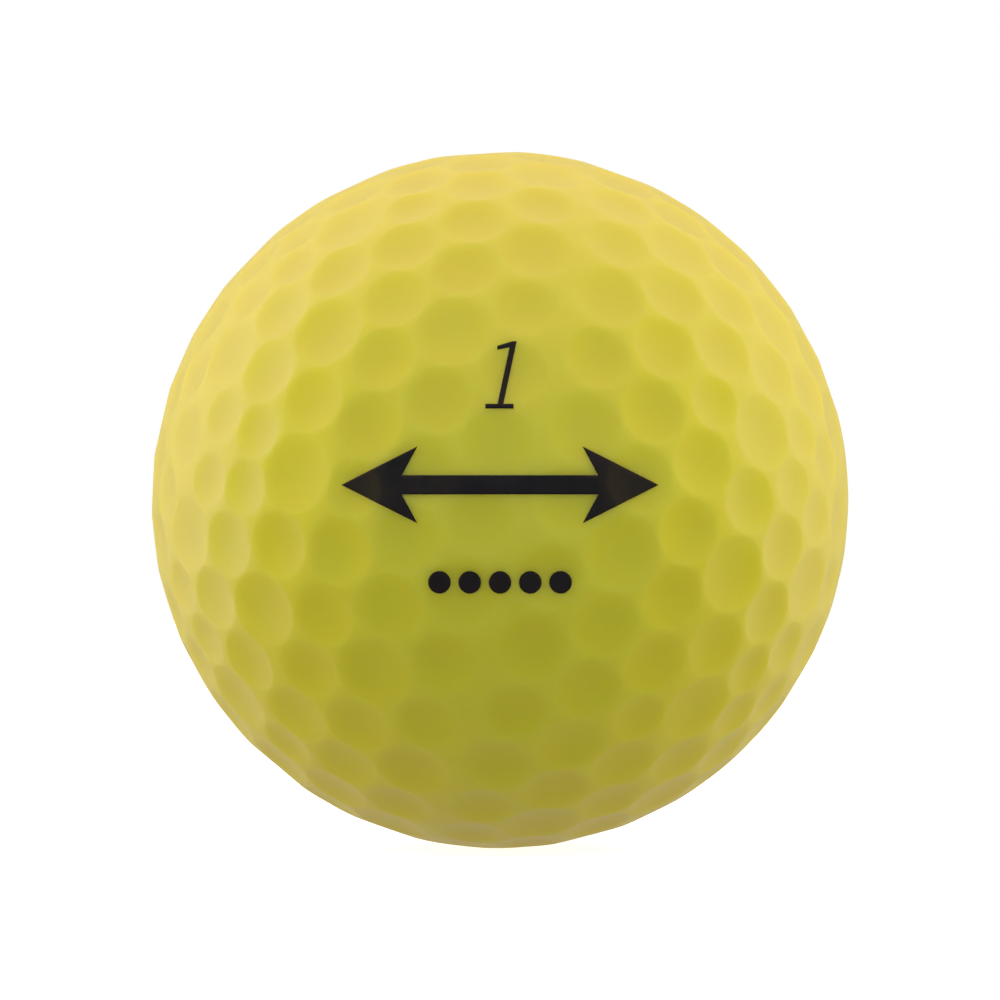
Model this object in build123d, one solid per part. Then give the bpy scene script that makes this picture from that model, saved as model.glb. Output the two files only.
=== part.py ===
from build123d import *
from math import radians, sqrt, tan
import os

# A three-piece golf ball: a rubber core, a mantle, a dimpled cover and three inked marks.
# Sizes are millimetres and angles are degrees. The origin is the centre of the ball,
# +Z is up, and the marks are on the -Y side, where they read with +X to the right.

BALL_DIAMETER = 42.7
COVER_THICKNESS = 1.5
MANTLE_THICKNESS = 1.2
INK_THICKNESS = 0.03

BALL_RADIUS = BALL_DIAMETER / 2
MANTLE_RADIUS = BALL_RADIUS - COVER_THICKNESS
CORE_RADIUS = MANTLE_RADIUS - MANTLE_THICKNESS

# Every dimple is a shallow spherical bowl, this deep below the plane of its rim.
DIMPLE_DEPTH = 0.15
# A bowl's cutter goes this far past the rim, which is less than half the narrowest land,
# and stands this far out of the ball.
CUTTER_MARGIN = 0.05
CUTTER_HEADROOM = 0.5

# The diameters of the bowls.
SMALL = 3.25
MEDIUM = 3.85
WIDE = 4.0
BROAD = 4.3
LARGE = 4.5

# One hemisphere of the mould, pole up. A line is a latitude, the longitude of a mirror
# plane, how far the bowls stand to each side of that plane, and their diameter. The
# bowls of a line repeat in every sector around the pole.
SECTORS = 6
SECTOR_ANGLE = 360 / SECTORS
RINGS = (
    (6.3, 0, 0, MEDIUM),
    (6.3, 0, 12, BROAD),
    (6.3, 0, 24, MEDIUM),
    (16.8, 0, 5.9, WIDE),
    (16.8, 0, 17.6, WIDE),
    (16.8, 30, 0, LARGE),
    (27.1, 0, 0, SMALL),
    (27.1, 0, 11.5, WIDE),
    (27.1, 0, 23.9, MEDIUM),
    (38.0, 0, 0, LARGE),
    (38.0, 0, 15, MEDIUM),
    (38.0, 30, 0, LARGE),
    (47.7, 0, 6.8, SMALL),
    (48.4, 30, 8.2, MEDIUM),
    (56.9, 0, 9.8, SMALL),
    (59.2, 30, 0, LARGE),
    (68.0, 0, 0, MEDIUM),
    (70.1, 30, 0, SMALL),
    (79.6, 30, 0, SMALL),
)
POLE_BOWL = MEDIUM
# The lower hemisphere is the upper one mirrored in the seam, then turned half a sector.
LOWER_TURN = SECTOR_ANGLE / 2

# How the mould lies in the finished ball: the seam crosses the marked side steeply, from
# upper right to lower left.
MOULD_SPIN = -94.9
MOULD_TILT = -77.0
MOULD_TURN = 4.2

# Only bowls whose direction leans at least this far to the front can meet a mark.
FRONT_LEAN = 0.8

# The marks as seen from the front, x to the right and z up from the ball's centre.
NUMBER_X = 0.38
NUMBER_Z = 7.2
NUMBER_HEIGHT = 3.9
NUMBER_SLANT = 11.9
STEM_WIDTH = 0.34
FOOT_WIDTH = 1.62
FOOT_HEIGHT = 0.27
FLAG_REACH = 0.95
FLAG_DROP = 0.27
FLAG_TIP = 0.22
FLAG_ROOT = 0.38

ARROW_Z = 0.87
ARROW_LENGTH = 18.3
ARROW_HEAD_LENGTH = 4.4
ARROW_HEAD_HEIGHT = 4.4
ARROW_NOTCH = 1.2
ARROW_LINE = 1.1

DOTS = 5
DOTS_Z = -4.73
DOT_DIAMETER = 1.3
DOT_PITCH = 1.74


def longitudes(plane, offset):
    """Longitudes beside one mirror plane: the plane itself, or one to each side."""
    if offset == 0:
        return (plane,)
    return (plane - offset, plane + offset)


def place(latitude, longitude):
    """Location at the ball's centre with its Z axis out through a point of the mould."""
    mould = Rot(Z=MOULD_TURN) * Rot(Y=MOULD_TILT) * Rot(Z=MOULD_SPIN)
    return mould * Rot(Z=longitude) * Rot(Y=90 - latitude)


def bowls():
    """The location and diameter of every bowl on the ball."""
    found = [(place(90, 0), POLE_BOWL), (place(-90, 0), POLE_BOWL)]
    for latitude, plane, offset, diameter in RINGS:
        for sector in range(SECTORS):
            for longitude in longitudes(plane + sector * SECTOR_ANGLE, offset):
                found.append((place(latitude, longitude), diameter))
                found.append((place(-latitude, longitude + LOWER_TURN), diameter))
    return found


def front_bowls():
    """The bowls near the marks."""
    front = Vector(0, -1, 0)
    return [b for b in bowls() if b[0].z_axis.direction.dot(front) > FRONT_LEAN]


def cutter(diameter, skin=0.0):
    """Plug with a spherical end that cuts one bowl at +Z, the bowl lined by a skin."""
    rim = diameter / 2
    rim_height = sqrt(BALL_RADIUS**2 - rim**2)
    bowl_radius = (rim**2 + DIMPLE_DEPTH**2) / (2 * DIMPLE_DEPTH)
    bowl_centre = rim_height - DIMPLE_DEPTH + bowl_radius
    low = rim_height - 2 * DIMPLE_DEPTH
    high = BALL_RADIUS + CUTTER_HEADROOM
    column = Cylinder(rim + CUTTER_MARGIN, high - low).moved(Pos(Z=(low + high) / 2))
    return column & Sphere(bowl_radius - skin).moved(Pos(Z=bowl_centre))


def dimpled(ball, some_bowls, skin=0.0):
    """The ball with the given bowls cut into it."""
    sizes = {diameter for _, diameter in some_bowls}
    plugs = {diameter: cutter(diameter, skin) for diameter in sizes}
    return ball.cut(*[plugs[diameter].moved(location) for location, diameter in some_bowls])


def core():
    return Sphere(CORE_RADIUS)


def mantle():
    return Sphere(MANTLE_RADIUS) - Sphere(CORE_RADIUS)


def cover():
    return dimpled(Sphere(BALL_RADIUS), bowls()) - Sphere(MANTLE_RADIUS)


def inked(outline):
    """A layer of ink in the shape of the outline, lying on the front of the cover."""
    near = front_bowls()
    column = extrude(Plane.XZ * outline, BALL_DIAMETER, dir=(0, -1, 0))
    stamp = column & Sphere(BALL_RADIUS + INK_THICKNESS)
    return dimpled(stamp, near, INK_THICKNESS) - dimpled(Sphere(BALL_RADIUS), near)


def number_outline():
    """A slanted numeral one with a flag and a foot, the middle of its stem at the origin."""
    half = NUMBER_HEIGHT / 2
    lean = half * tan(radians(NUMBER_SLANT))
    edge = STEM_WIDTH / 2
    stem = Polygon(
        (-lean - edge, -half),
        (-lean + edge, -half),
        (lean + edge, half),
        (lean - edge, half),
        align=None,
    )
    foot = Pos(-lean, -half + FOOT_HEIGHT / 2) * Rectangle(FOOT_WIDTH, FOOT_HEIGHT)
    tip = lean - FLAG_REACH
    flag = Polygon(
        (tip, half - FLAG_DROP),
        (tip, half - FLAG_DROP - FLAG_TIP),
        (lean, half - FLAG_ROOT),
        (lean, half),
        align=None,
    )
    return stem + foot + flag


def arrow_outline():
    """A line with a notched arrow head at each end, its middle at the origin."""
    line = Rectangle(ARROW_LENGTH - ARROW_HEAD_LENGTH, ARROW_LINE)
    end = ARROW_LENGTH / 2
    back = end - ARROW_HEAD_LENGTH
    head = Polygon(
        (end, 0),
        (back, ARROW_HEAD_HEIGHT / 2),
        (back + ARROW_NOTCH, 0),
        (back, -ARROW_HEAD_HEIGHT / 2),
        align=None,
    )
    return line + head + mirror(head, about=Plane.YZ)


def number_print():
    return inked(Pos(NUMBER_X, NUMBER_Z) * number_outline())


def arrow_print():
    return inked(Pos(0, ARROW_Z) * arrow_outline())


def dot_print():
    """A row of round dots under the arrow."""
    first = -DOT_PITCH * (DOTS - 1) / 2
    dots = [Pos(first + i * DOT_PITCH, DOTS_Z) * Circle(DOT_DIAMETER / 2) for i in range(DOTS)]
    return inked(Sketch() + dots)


PARTS = {
    "core": core,
    "mantle": mantle,
    "cover": cover,
    "number_print": number_print,
    "arrow_print": arrow_print,
    "dot_print": dot_print,
}

os.makedirs("parts", exist_ok=True)
for name, make in PARTS.items():
    part = make()
    part.label = name
    export_step(part, f"parts/{name}.step")
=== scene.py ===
from math import asin, cos, pi, radians, sin, sqrt, tan

import bmesh
import bpy
import numpy as np
from mathutils import Matrix, Vector
from mathutils.geometry import delaunay_2d_cdt


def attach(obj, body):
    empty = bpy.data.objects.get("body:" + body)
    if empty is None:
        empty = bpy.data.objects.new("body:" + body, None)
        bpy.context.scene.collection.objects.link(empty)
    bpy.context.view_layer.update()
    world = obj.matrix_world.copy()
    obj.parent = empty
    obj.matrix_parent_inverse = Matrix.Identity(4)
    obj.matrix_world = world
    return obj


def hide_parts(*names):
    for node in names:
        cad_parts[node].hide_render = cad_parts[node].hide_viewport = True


# A matte yellow golf ball. Lengths are metres unless a name ends in _MM, in the CAD
# model's frame: the origin is the ball's centre, +Z is up and the marks face -Y.

MM = 0.001

BALL_RADIUS_MM = 21.35
COVER_THICKNESS_MM = 1.5
INK_THICKNESS_MM = 0.03

# Dimples, as in the CAD model: shallow spherical bowls in a pattern that repeats in six
# sectors around the mould's pole.
DIMPLE_DEPTH_MM = 0.15
SMALL, MEDIUM, WIDE, BROAD, LARGE = 3.25, 3.85, 4.0, 4.3, 4.5
SECTORS = 6
SECTOR_ANGLE = 360 / SECTORS
RINGS = (
    # latitude, longitude of the mirror plane, distance to each side of it, diameter
    (6.3, 0, 0, MEDIUM),
    (6.3, 0, 12, BROAD),
    (6.3, 0, 24, MEDIUM),
    (16.8, 0, 5.9, WIDE),
    (16.8, 0, 17.6, WIDE),
    (16.8, 30, 0, LARGE),
    (27.1, 0, 0, SMALL),
    (27.1, 0, 11.5, WIDE),
    (27.1, 0, 23.9, MEDIUM),
    (38.0, 0, 0, LARGE),
    (38.0, 0, 15, MEDIUM),
    (38.0, 30, 0, LARGE),
    (47.7, 0, 6.8, SMALL),
    (48.4, 30, 8.2, MEDIUM),
    (56.9, 0, 9.8, SMALL),
    (59.2, 30, 0, LARGE),
    (68.0, 0, 0, MEDIUM),
    (70.1, 30, 0, SMALL),
    (79.6, 30, 0, SMALL),
)
POLE_BOWL = MEDIUM
LOWER_TURN = SECTOR_ANGLE / 2
MOULD_SPIN, MOULD_TILT, MOULD_TURN = -94.9, -77.0, 4.2

# The rims are rounded and flare outwards. A bowl adds nothing beyond this many rim radii.
RIM_SOFTNESS_MM = 0.022
RIM_FLARE_MM = 0.08
BOWL_REACH = 2.5

# The cover's mesh: rings of points in and around each bowl, at these distances outside its
# rim and then evenly inside, and evenly spread points that keep clear of the rings.
SPACING_MM = 0.3
RIM_RINGS_MM = (0.08, 0.0, -0.08, -0.2, -0.4)
BOWL_SPACING_MM = 0.42
LAND_CLEARANCE_MM = 0.16
SEAM_POINTS = 456

# The cover's inside surface stays this far outside the mantle.
MANTLE_GAP_MM = 0.02

# Marks, as in the CAD model, in millimetres on the front: x to the right and z up. The flag's
# lower edge meets the stem's side at the shoulder, this far under the top.
NUMBER_X, NUMBER_Z, NUMBER_HEIGHT, NUMBER_SLANT = 0.38, 7.2, 3.9, 11.9
STEM_WIDTH, FOOT_WIDTH, FOOT_HEIGHT = 0.34, 1.62, 0.27
FLAG_REACH, FLAG_DROP, FLAG_TIP, FLAG_SHOULDER = 0.95, 0.27, 0.22, 0.342
ARROW_Z, ARROW_LENGTH, ARROW_LINE = 0.87, 18.3, 1.1
ARROW_HEAD_LENGTH, ARROW_HEAD_HEIGHT, ARROW_NOTCH = 4.4, 4.4, 1.2
DOTS, DOTS_Z, DOT_DIAMETER, DOT_PITCH = 5, -4.73, 1.3, 1.74
DOT_POINTS = 28
INK_SPACING_MM = 0.15
# The underside of the ink lies this far inside the cover.
INK_SINK_MM = INK_THICKNESS_MM / 4

# The camera stands 15 ball radii away and the ball fills this share of the frame.
CAMERA_DISTANCE = 15 * BALL_RADIUS_MM * MM
BALL_SHARE = 0.697
SENSOR_WIDTH = 36.0
FLOOR_SIZE = 1.2

# Soft light as linear colours: dim and cool in front, a warm ring around that, paler at the
# sides, and dimmer behind and below.
FRONT_LIGHT = (0.31, 0.44, 0.50)
INNER_LIGHT = (1.76, 1.44, 0.31)
LEFT_LIGHT = (1.70, 1.31, 1.45)
RIGHT_LIGHT = (1.56, 1.20, 1.05)
BACK_LIGHT = (0.65, 0.58, 0.42)
TOP_LIGHT = (1.09, 0.69, 0.80)
LOW_LIGHT = (0.42, 0.32, 0.33)


# Bowls


def longitudes(plane, offset):
    if offset == 0:
        return (plane,)
    return (plane - offset, plane + offset)


def direction(latitude, longitude):
    la, lo = radians(latitude), radians(longitude)
    return (cos(la) * cos(lo), cos(la) * sin(lo), sin(la))


def upper_bowls():
    """Directions and flared diameters of the upper hemisphere's bowls, in the mould's frame."""
    directions, diameters = [(0.0, 0.0, 1.0)], [POLE_BOWL + 2 * RIM_FLARE_MM]
    for latitude, plane, offset, diameter in RINGS:
        for sector in range(SECTORS):
            for longitude in longitudes(plane + sector * SECTOR_ANGLE, offset):
                directions.append(direction(latitude, longitude))
                diameters.append(diameter + 2 * RIM_FLARE_MM)
    return np.array(directions), np.array(diameters)


def lowered(points):
    """The same points on the lower hemisphere: mirrored in the seam and turned."""
    turn = radians(LOWER_TURN)
    x = points[:, 0] * cos(turn) - points[:, 1] * sin(turn)
    y = points[:, 0] * sin(turn) + points[:, 1] * cos(turn)
    return np.stack([x, y, -points[:, 2]], 1)


def mould_matrix():
    """Rotation from the mould's frame to the ball's frame."""
    turn = Matrix.Rotation(radians(MOULD_TURN), 3, "Z")
    tilt = Matrix.Rotation(radians(MOULD_TILT), 3, "Y")
    spin = Matrix.Rotation(radians(MOULD_SPIN), 3, "Z")
    return np.array(turn @ tilt @ spin)


UPPER_DIRECTIONS, UPPER_DIAMETERS = upper_bowls()
BOWL_DIRECTIONS = np.concatenate([UPPER_DIRECTIONS, lowered(UPPER_DIRECTIONS)])
BOWL_DIAMETERS = np.tile(UPPER_DIAMETERS, 2)


def bowl_depth(directions):
    """How far the moulded surface lies under the ball's sphere, in millimetres."""
    depth = np.zeros(len(directions))
    for axis, diameter in zip(BOWL_DIRECTIONS, BOWL_DIAMETERS):
        rim = diameter / 2
        deepest = DIMPLE_DEPTH_MM + BALL_RADIUS_MM - sqrt(BALL_RADIUS_MM**2 - rim**2)
        cosine = directions @ axis
        near = cosine > cos(BOWL_REACH * rim / BALL_RADIUS_MM)
        across = BALL_RADIUS_MM * np.sqrt(1 - np.minimum(cosine[near], 1) ** 2) / rim
        # Zero at the rim and below zero outside it, which the next line turns softly into zero.
        below = deepest * (1 - across**2)
        depth[near] += (below + np.sqrt(below**2 + RIM_SOFTNESS_MM**2)) / 2
    return depth


# Mesh of the cover


def ring(axis, arc, count, stagger):
    """Points on a circle around an axis, at an arc in radians."""
    axis = Vector(axis)
    side = axis.orthogonal().normalized()
    other = axis.cross(side)
    angles = (np.arange(count) + stagger) * 2 * pi / count
    around = np.outer(np.cos(angles), side) + np.outer(np.sin(angles), other)
    return cos(arc) * np.array(axis) + sin(arc) * around


def bowl_points(axis, diameter):
    """Rings of points in one bowl, close together at its rim."""
    rim = BALL_RADIUS_MM * asin(diameter / 2 / BALL_RADIUS_MM)
    arcs = [rim + offset for offset in RIM_RINGS_MM]
    inner = int(arcs[-1] / BOWL_SPACING_MM)
    arcs += [arcs[-1] * k / (inner + 1) for k in range(inner, 0, -1)]
    points = [np.array([axis])]
    for i, arc in enumerate(arcs):
        spacing = SPACING_MM if i < len(RIM_RINGS_MM) else BOWL_SPACING_MM
        count = max(6, round(2 * pi * arc / spacing))
        points.append(ring(axis, arc / BALL_RADIUS_MM, count, (i % 2) / 2))
    return np.concatenate(points)


def land_points():
    """Evenly spread points on the upper hemisphere between the bowls."""
    count = int(4 * pi * BALL_RADIUS_MM**2 / SPACING_MM**2)
    k = np.arange(count // 2) + 0.5
    z = 1 - 2 * k / count
    turn = pi * (1 + sqrt(5)) * k
    flat = np.sqrt(1 - z**2)
    points = np.stack([flat * np.cos(turn), flat * np.sin(turn), z], 1)
    clear = points[:, 2] * BALL_RADIUS_MM > LAND_CLEARANCE_MM
    for axis, diameter in zip(UPPER_DIRECTIONS, UPPER_DIAMETERS):
        reach = asin(diameter / 2 / BALL_RADIUS_MM) + LAND_CLEARANCE_MM / BALL_RADIUS_MM
        clear &= points @ axis < cos(reach)
    return points[clear]


def seam_points():
    angles = np.arange(SEAM_POINTS) * 2 * pi / SEAM_POINTS
    return np.stack([np.cos(angles), np.sin(angles), np.zeros(SEAM_POINTS)], 1)


def upper_mesh():
    """Points and triangles of the upper half, its seam points first."""
    bowls = [bowl_points(*bowl) for bowl in zip(UPPER_DIRECTIONS, UPPER_DIAMETERS)]
    points = np.concatenate([seam_points(), land_points(), *bowls])
    # Flattened by a stereographic map, which keeps well-shaped triangles well shaped.
    flat = points[:, :2] / (1 + points[:, 2:])
    made = delaunay_2d_cdt([Vector(p) for p in flat], [], [], 0, 1e-8)
    source = np.array([found[0] for found in made[3]])
    return points, source[np.array(made[2])]


def cover_mesh():
    """Outer surface of the whole ball as unit directions in the mould's frame, and triangles."""
    upper, triangles = upper_mesh()
    count = len(upper)
    lower = lowered(upper)
    # A point on the seam is the same point seen from both halves.
    turned = round(SEAM_POINTS * LOWER_TURN / 360)
    index = np.arange(count) + count - SEAM_POINTS
    index[:SEAM_POINTS] = (np.arange(SEAM_POINTS) + turned) % SEAM_POINTS
    points = np.concatenate([upper, lower[SEAM_POINTS:]])
    faces = np.concatenate([triangles, index[triangles][:, ::-1]])
    return points, faces


def new_piece(name, points, faces):
    mesh = bpy.data.meshes.new(name)
    mesh.from_pydata(points.tolist(), [], faces.tolist())
    mesh.polygons.foreach_set("use_smooth", [True] * len(faces))
    mesh.update()
    piece = bpy.data.objects.new(name, mesh)
    bpy.context.scene.collection.objects.link(piece)
    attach(piece, "root")
    return piece


def inner_shell():
    """The cover's inside surface, facing inwards."""
    radius = BALL_RADIUS_MM - COVER_THICKNESS_MM + MANTLE_GAP_MM
    shell = bmesh.new()
    bmesh.ops.create_icosphere(shell, subdivisions=5, radius=radius * MM)
    points = np.array([v.co[:] for v in shell.verts])
    faces = np.array([[v.index for v in f.verts][::-1] for f in shell.faces])
    shell.free()
    return points, faces


def make_cover():
    """The dimpled outer shell, with how high each point stands as an attribute."""
    directions, faces = cover_mesh()
    depth = bowl_depth(directions)
    outer = (directions * (BALL_RADIUS_MM - depth)[:, None] * MM) @ mould_matrix().T
    inner, inner_faces = inner_shell()
    points = np.concatenate([outer, inner])
    faces = np.concatenate([faces, inner_faces + len(outer)])
    cover = new_piece("cover_shell", points, faces)
    height = np.concatenate([1 - depth / depth.max(), np.zeros(len(inner))])
    cover.data.attributes.new("height", "FLOAT", "POINT").data.foreach_set("value", height)
    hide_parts("cover")
    return cover


# Marks


def surface_point(x, z):
    """The ball's surface at a place on the front, as a direction and a radius in mm."""
    radius = np.full(len(x), BALL_RADIUS_MM)
    # The radius depends on the direction and the direction on the radius: six rounds settle it.
    for _ in range(6):
        y = -np.sqrt(radius**2 - x**2 - z**2)
        directions = np.stack([x, y, z], 1) / radius[:, None]
        radius = BALL_RADIUS_MM - bowl_depth(directions @ mould_matrix())
    return directions, radius


def outline_points(corners):
    """The outline with points at even spacing along its edges."""
    points = []
    for a, b in zip(corners, corners[1:] + corners[:1]):
        a, b = np.array(a), np.array(b)
        steps = max(1, round(float(np.linalg.norm(b - a)) / INK_SPACING_MM))
        points += [a + (b - a) * k / steps for k in range(steps)]
    return np.array(points)


def filled(corners):
    """Points and triangles that fill an outline."""
    edge = outline_points(corners)
    low, high = edge.min(0), edge.max(0)
    xs = np.arange(low[0], high[0], INK_SPACING_MM)
    zs = np.arange(low[1], high[1], INK_SPACING_MM)
    grid = np.array([(x, z) for x in xs for z in zs])
    apart = np.linalg.norm(grid[:, None] - edge[None], axis=2).min(1)
    points = np.concatenate([edge, grid[apart > INK_SPACING_MM / 2]])
    loop = [(i, (i + 1) % len(edge)) for i in range(len(edge))]
    made = delaunay_2d_cdt([Vector(p) for p in points], loop, [], 1, 1e-7)
    inside, triangles = np.unique(np.array(made[2]), return_inverse=True)
    return np.array([v[:] for v in made[0]])[inside], triangles.reshape(-1, 3)


def ink_layer(corners):
    """A closed layer of ink in an outline's shape, lying on the moulded surface."""
    flat, top = filled(corners)
    directions, radius = surface_point(flat[:, 0], flat[:, 1])
    upper = directions * (radius + INK_THICKNESS_MM)[:, None]
    lower = directions * (radius - INK_SINK_MM)[:, None]
    count = len(flat)
    sides = {(a, b) for f in top for a, b in zip(f, np.roll(f, -1))}
    walls = [(a, a + count, b + count, b) for a, b in sides if (b, a) not in sides]
    wall_faces = [t for a, b, c, d in walls for t in ((a, b, c), (a, c, d))]
    faces = np.concatenate([top, top[:, ::-1] + count, np.array(wall_faces)])
    return np.concatenate([upper, lower]) * MM, faces


def make_print(name, outlines, node):
    points, faces, start = [], [], 0
    for corners in outlines:
        layer, triangles = ink_layer(corners)
        points.append(layer)
        faces.append(triangles + start)
        start += len(layer)
    piece = new_piece(name, np.concatenate(points), np.concatenate(faces))
    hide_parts(node)
    return piece


def number_outline():
    """The slanted numeral one as a single outline."""
    half = NUMBER_HEIGHT / 2
    slope = tan(radians(NUMBER_SLANT))
    edge = STEM_WIDTH / 2
    foot = -half * slope
    shoulder = half - FLAG_SHOULDER
    tip = half * slope - FLAG_REACH
    corners = [
        (foot - FOOT_WIDTH / 2, -half),
        (foot + FOOT_WIDTH / 2, -half),
        (foot + FOOT_WIDTH / 2, -half + FOOT_HEIGHT),
        ((-half + FOOT_HEIGHT) * slope + edge, -half + FOOT_HEIGHT),
        (half * slope + edge, half),
        (half * slope - edge / 2, half),
        (tip, half - FLAG_DROP),
        (tip, half - FLAG_DROP - FLAG_TIP),
        (shoulder * slope - edge, shoulder),
        ((-half + FOOT_HEIGHT) * slope - edge, -half + FOOT_HEIGHT),
        (foot - FOOT_WIDTH / 2, -half + FOOT_HEIGHT),
    ]
    return [(x + NUMBER_X, z + NUMBER_Z) for x, z in corners]


def arrow_outline():
    """The alignment line with a notched arrow head at each end."""
    end = ARROW_LENGTH / 2
    back = end - ARROW_HEAD_LENGTH
    half = ARROW_LINE / 2
    notch = back + ARROW_NOTCH * (1 - ARROW_LINE / ARROW_HEAD_HEIGHT)
    right = [
        (notch, -half),
        (back, -ARROW_HEAD_HEIGHT / 2),
        (end, 0),
        (back, ARROW_HEAD_HEIGHT / 2),
        (notch, half),
    ]
    left = [(-x, -z) for x, z in right]
    return [(x, z + ARROW_Z) for x, z in right + left]


def dot_outline(x):
    turns = [2 * pi * k / DOT_POINTS for k in range(DOT_POINTS)]
    half = DOT_DIAMETER / 2
    return [(x + half * cos(t), DOTS_Z + half * sin(t)) for t in turns]


def dot_outlines():
    first = -DOT_PITCH * (DOTS - 1) / 2
    return [dot_outline(first + DOT_PITCH * k) for k in range(DOTS)]


# Materials


class Nodes:
    """A node tree, with short ways to add to it."""

    def __init__(self, tree):
        self.tree = tree

    def add(self, kind, **settings):
        node = self.tree.nodes.new(kind)
        for key, value in settings.items():
            setattr(node, key, value)
        return node

    def link(self, source, target):
        self.tree.links.new(source, target)

    def noise(self, size, detail=3.0, roughness=0.5):
        """Noise from 0 to 1 with features of about the given size in metres."""
        node = self.add("ShaderNodeTexNoise")
        node.inputs["Scale"].default_value = 1 / size
        node.inputs["Detail"].default_value = detail
        node.inputs["Roughness"].default_value = roughness
        self.link(self.place, node.inputs["Vector"])
        return node.outputs["Fac"]

    def ramp(self, factor, *stops):
        """Colours at positions along a factor."""
        node = self.add("ShaderNodeValToRGB")
        elements = node.color_ramp.elements
        while len(elements) < len(stops):
            elements.new(0.5)
        for element, (position, colour) in zip(elements, stops):
            element.position = position
            element.color = (*colour, 1)
        self.link(factor, node.inputs["Fac"])
        return node.outputs["Color"]

    def spread(self, factor, low, high, start=0.3, end=0.7):
        """A factor between start and end turned into a value between low and high."""
        node = self.add("ShaderNodeMapRange")
        node.inputs["From Min"].default_value = start
        node.inputs["From Max"].default_value = end
        node.inputs["To Min"].default_value = low
        node.inputs["To Max"].default_value = high
        self.link(factor, node.inputs["Value"])
        return node.outputs["Result"]

    def mix(self, factor, first, second):
        """The first colour at 0 and the second at 1, each a constant or an output."""
        node = self.add("ShaderNodeMix", data_type="RGBA")
        self.link(factor, node.inputs["Factor"])
        for name, colour in (("A", first), ("B", second)):
            if isinstance(colour, tuple):
                node.inputs[name].default_value = (*colour, 1)
            else:
                self.link(colour, node.inputs[name])
        return node.outputs["Result"]

    def blend(self, factor, start, end, first, second):
        """The first colour where a factor is under start, the second where it is over end."""
        return self.mix(self.spread(factor, 0, 1, start, end), first, second)

    def bump(self, height, strength, distance):
        node = self.add("ShaderNodeBump")
        node.inputs["Strength"].default_value = strength
        node.inputs["Distance"].default_value = distance
        self.link(height, node.inputs["Height"])
        self.link(node.outputs["Normal"], self.shader.inputs["Normal"])


class Finish(Nodes):
    """A material with a Principled shader, its patterns fixed to the object."""

    def __init__(self, name):
        self.material = bpy.data.materials.new(name)
        self.material.use_nodes = True
        super().__init__(self.material.node_tree)
        self.shader = self.tree.nodes["Principled BSDF"]
        self.place = self.add("ShaderNodeTexCoord").outputs["Object"]


def resin_material():
    """Translucent yellow resin under a matte clear coat."""
    m = Finish("cover_resin")
    cloudy = m.noise(0.006, 2.0)
    # Painted shade and sheen: the bowls get a darker, more saturated yellow and the land between
    # them a paler yellow with more blue. This stands in for shade in the hollows and whitish
    # sheen on the land, and the noise adds random tone.
    bowls = m.ramp(cloudy, (0.35, (0.95, 0.84, 0.032)), (0.65, (0.98, 0.88, 0.038)))
    land = m.ramp(m.noise(0.0015), (0.3, (0.94, 0.86, 0.046)), (0.7, (0.97, 0.90, 0.056)))
    height = m.add("ShaderNodeAttribute", attribute_name="height").outputs["Fac"]
    raised = m.spread(height, 0.0, 1.0, 0.55, 0.95)
    m.link(m.mix(raised, bowls, land), m.shader.inputs["Base Color"])
    m.link(m.spread(m.noise(0.0008, 4.0), 0.34, 0.44), m.shader.inputs["Roughness"])
    m.shader.inputs["IOR"].default_value = 1.5
    m.shader.inputs["Subsurface Weight"].default_value = 1.0
    m.shader.inputs["Subsurface Radius"].default_value = (1.0, 0.9, 0.3)
    m.shader.inputs["Subsurface Scale"].default_value = 0.003
    m.shader.inputs["Coat Weight"].default_value = 0.45
    m.shader.inputs["Coat Roughness"].default_value = 0.35
    m.shader.inputs["Coat IOR"].default_value = 1.5
    m.bump(m.noise(0.00018, 2.0), 0.12, 0.00002)
    return m.material


def ink_material():
    """Near-black printing ink, slightly uneven."""
    m = Finish("ink")
    patchy = m.noise(0.0009, 4.0)
    colour = m.ramp(patchy, (0.3, (0.004, 0.002, 0.004)), (0.7, (0.009, 0.005, 0.008)))
    m.link(colour, m.shader.inputs["Base Color"])
    m.shader.inputs["Specular IOR Level"].default_value = 0.3
    m.link(m.spread(patchy, 0.42, 0.56), m.shader.inputs["Roughness"])
    m.bump(m.noise(0.00012, 2.0), 0.15, 0.00001)
    return m.material


def core_material():
    """Brick-coloured moulded rubber with darker specks."""
    m = Finish("core_rubber")
    body = m.ramp(m.noise(0.004), (0.3, (0.30, 0.055, 0.022)), (0.7, (0.38, 0.08, 0.032)))
    speck = m.ramp(m.noise(0.0004, 1.0), (0.3, (0.10, 0.02, 0.012)), (0.6, (0.20, 0.04, 0.02)))
    m.link(m.blend(m.noise(0.0005, 1.0), 0.62, 0.68, body, speck), m.shader.inputs["Base Color"])
    m.link(m.spread(m.noise(0.001), 0.62, 0.78), m.shader.inputs["Roughness"])
    m.bump(m.noise(0.0004), 0.3, 0.00003)
    return m.material


def mantle_material():
    """Cloudy off-white ionomer."""
    m = Finish("mantle_ionomer")
    cloudy = m.noise(0.005, 3.0)
    colour = m.ramp(cloudy, (0.3, (0.70, 0.67, 0.56)), (0.7, (0.80, 0.78, 0.70)))
    m.link(colour, m.shader.inputs["Base Color"])
    m.link(m.spread(m.noise(0.001), 0.34, 0.48), m.shader.inputs["Roughness"])
    m.bump(m.noise(0.0003), 0.15, 0.00002)
    return m.material


def finish_with(piece, material):
    if not piece.material_slots:
        piece.data.materials.append(material)
    for material_slot in piece.material_slots:
        material_slot.material = material


# Studio


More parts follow.
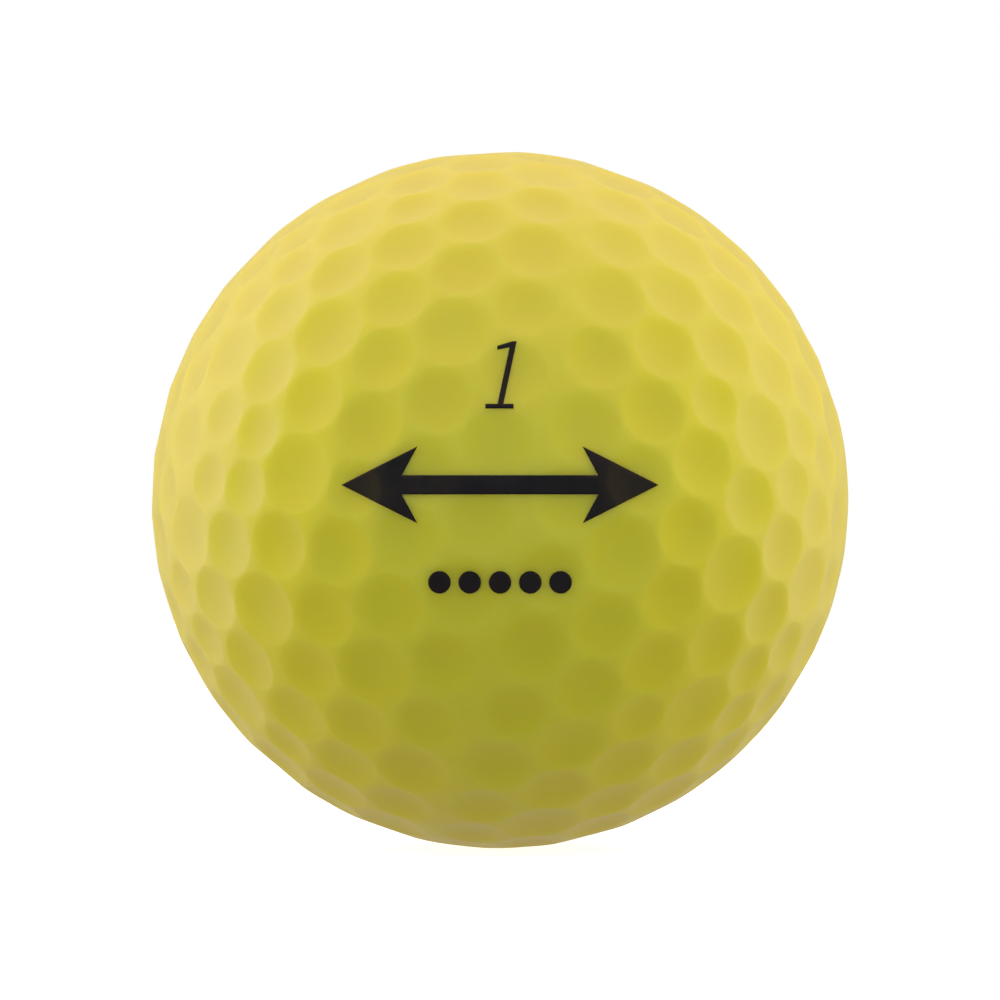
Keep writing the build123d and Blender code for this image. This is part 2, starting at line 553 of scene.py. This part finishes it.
def make_floor():
    """A pale floor that glows enough to stay white, and that throws no light on the ball."""
    place = (0, 0, -BALL_RADIUS_MM * MM)
    bpy.ops.mesh.primitive_plane_add(size=FLOOR_SIZE, location=place)
    floor = bpy.context.object
    floor.name = "floor"
    floor.visible_diffuse = False
    floor.visible_glossy = False
    m = Finish("floor")
    colour = m.ramp(m.noise(0.05), (0.3, (0.93, 0.93, 0.93)), (0.7, (0.96, 0.96, 0.96)))
    m.link(colour, m.shader.inputs["Base Color"])
    m.shader.inputs["Roughness"].default_value = 0.8
    m.shader.inputs["Emission Color"].default_value = (1, 1, 1, 1)
    m.shader.inputs["Emission Strength"].default_value = 0.85
    finish_with(floor, m.material)


def make_world():
    """Soft light from all around, tinted by direction, and a white backdrop."""
    world = bpy.data.worlds.new("studio")
    bpy.context.scene.world = world
    world.use_nodes = True
    m = Nodes(world.node_tree)
    m.tree.nodes.clear()
    towards = m.add("ShaderNodeSeparateXYZ")
    m.link(m.add("ShaderNodeTexCoord").outputs["Generated"], towards.inputs["Vector"])
    # A direction's shares of +X, of +Y, which is away from the marks, and of +Z.
    across, along, up = (towards.outputs[axis] for axis in "XYZ")
    sides = m.blend(across, -0.5, 0.5, LEFT_LIGHT, RIGHT_LIGHT)
    rear = m.blend(along, 0.4, 0.9, sides, BACK_LIGHT)
    outer = m.blend(along, -0.2, 0.05, INNER_LIGHT, rear)
    around = m.blend(along, -0.6, -0.35, FRONT_LIGHT, outer)
    above = m.blend(up, 0.5, 1.0, around, TOP_LIGHT)
    surround = m.blend(up, -0.55, -0.15, LOW_LIGHT, above)
    lighting = m.add("ShaderNodeBackground")
    m.link(surround, lighting.inputs["Color"])
    backdrop = m.add("ShaderNodeBackground")
    backdrop.inputs["Color"].default_value = (1, 1, 1, 1)
    seen = m.add("ShaderNodeMixShader")
    m.link(m.add("ShaderNodeLightPath").outputs["Is Camera Ray"], seen.inputs["Fac"])
    m.link(lighting.outputs["Background"], seen.inputs[1])
    m.link(backdrop.outputs["Background"], seen.inputs[2])
    output = m.add("ShaderNodeOutputWorld")
    m.link(seen.outputs["Shader"], output.inputs["Surface"])


def make_camera():
    data = bpy.data.cameras.new("camera")
    camera = bpy.data.objects.new("camera", data)
    bpy.context.scene.collection.objects.link(camera)
    camera.location = (0, -CAMERA_DISTANCE, 0)
    camera.rotation_euler = (radians(90), 0, 0)
    edge = tan(asin(BALL_RADIUS_MM * MM / CAMERA_DISTANCE))
    data.sensor_width = SENSOR_WIDTH
    data.lens = BALL_SHARE * SENSOR_WIDTH / 2 / edge
    data.clip_start = 0.01
    bpy.context.scene.camera = camera


def make_studio():
    make_world()
    make_floor()
    make_camera()
    bpy.context.scene.view_settings.view_transform = "Standard"


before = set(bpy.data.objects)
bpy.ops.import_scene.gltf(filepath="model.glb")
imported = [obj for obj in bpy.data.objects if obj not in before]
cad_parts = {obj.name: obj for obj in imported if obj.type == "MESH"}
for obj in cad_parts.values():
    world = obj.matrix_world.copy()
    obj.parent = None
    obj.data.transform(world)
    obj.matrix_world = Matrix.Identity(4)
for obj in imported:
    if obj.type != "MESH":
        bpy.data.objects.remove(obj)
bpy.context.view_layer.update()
cover = make_cover()
finish_with(cover, resin_material())
ink = ink_material()
finish_with(make_print("number_ink", [number_outline()], "number_print"), ink)
finish_with(make_print("arrow_ink", [arrow_outline()], "arrow_print"), ink)
finish_with(make_print("dot_ink", dot_outlines(), "dot_print"), ink)
finish_with(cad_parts["core"], core_material())
finish_with(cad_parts["mantle"], mantle_material())
make_studio()
